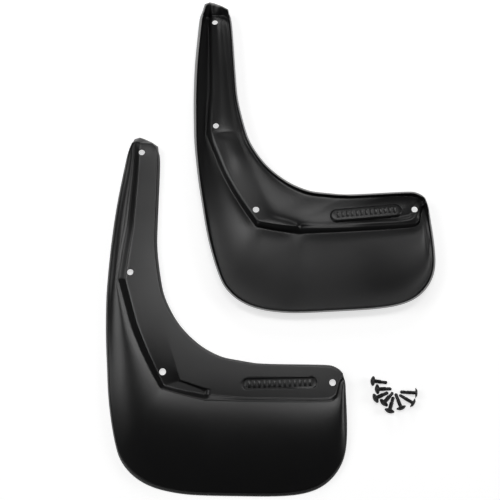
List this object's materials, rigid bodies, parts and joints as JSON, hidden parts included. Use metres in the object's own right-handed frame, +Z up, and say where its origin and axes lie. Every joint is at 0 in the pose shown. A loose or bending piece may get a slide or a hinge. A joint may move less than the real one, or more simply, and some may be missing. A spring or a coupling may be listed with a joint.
{
  "type": "mud flap set",
  "caption": "Pair of moulded plastic car mud flaps, left and right, with recessed mounting flange, turned rim and loose self-drilling screws, laid out flat.",
  "frame": {"origin": "centre of the laid-out set, on the surface it lies on", "axes": "+Z up from the surface, +Y along the stems of the flaps towards their tops, +X towards the free ends of the blades"},
  "size_m": [0.3665, 0.5862, 0.0149],
  "materials": {
    "moulded_plastic": "satin black thermoplastic, fine moulded grain",
    "black_screw": "black phosphated steel, slightly worn on the edges"
  },
  "bodies": {
    "left_flap": {"left_flap": "moulded_plastic"},
    "right_flap": {"right_flap": "moulded_plastic"},
    "screw_1": {"screw_1": "black_screw"},
    "screw_2": {"screw_2": "black_screw"},
    "screw_3": {"screw_3": "black_screw"},
    "screw_4": {"screw_4": "black_screw"},
    "screw_5": {"screw_5": "black_screw"},
    "screw_6": {"screw_6": "black_screw"},
    "screw_7": {"screw_7": "black_screw"},
    "screw_8": {"screw_8": "black_screw"}
  },
  "joints": [
    {"name": "right_flap_lift", "type": "slide", "parent": "left_flap", "child": "right_flap", "axis": [0, 0, 1], "range_m": [0, 0.1]},
    {"name": "screw_1_lift", "type": "slide", "parent": "left_flap", "child": "screw_1", "axis": [0, 0, 1], "range_m": [0, 0.05]},
    {"name": "screw_2_lift", "type": "slide", "parent": "left_flap", "child": "screw_2", "axis": [0, 0, 1], "range_m": [0, 0.05]},
    {"name": "screw_3_lift", "type": "slide", "parent": "left_flap", "child": "screw_3", "axis": [0, 0, 1], "range_m": [0, 0.05]},
    {"name": "screw_4_lift", "type": "slide", "parent": "left_flap", "child": "screw_4", "axis": [0, 0, 1], "range_m": [0, 0.05]},
    {"name": "screw_5_lift", "type": "slide", "parent": "left_flap", "child": "screw_5", "axis": [0, 0, 1], "range_m": [0, 0.05]},
    {"name": "screw_6_lift", "type": "slide", "parent": "left_flap", "child": "screw_6", "axis": [0, 0, 1], "range_m": [0, 0.05]},
    {"name": "screw_7_lift", "type": "slide", "parent": "left_flap", "child": "screw_7", "axis": [0, 0, 1], "range_m": [0, 0.05]},
    {"name": "screw_8_lift", "type": "slide", "parent": "left_flap", "child": "screw_8", "axis": [0, 0, 1], "range_m": [0, 0.05]}
  ]
}
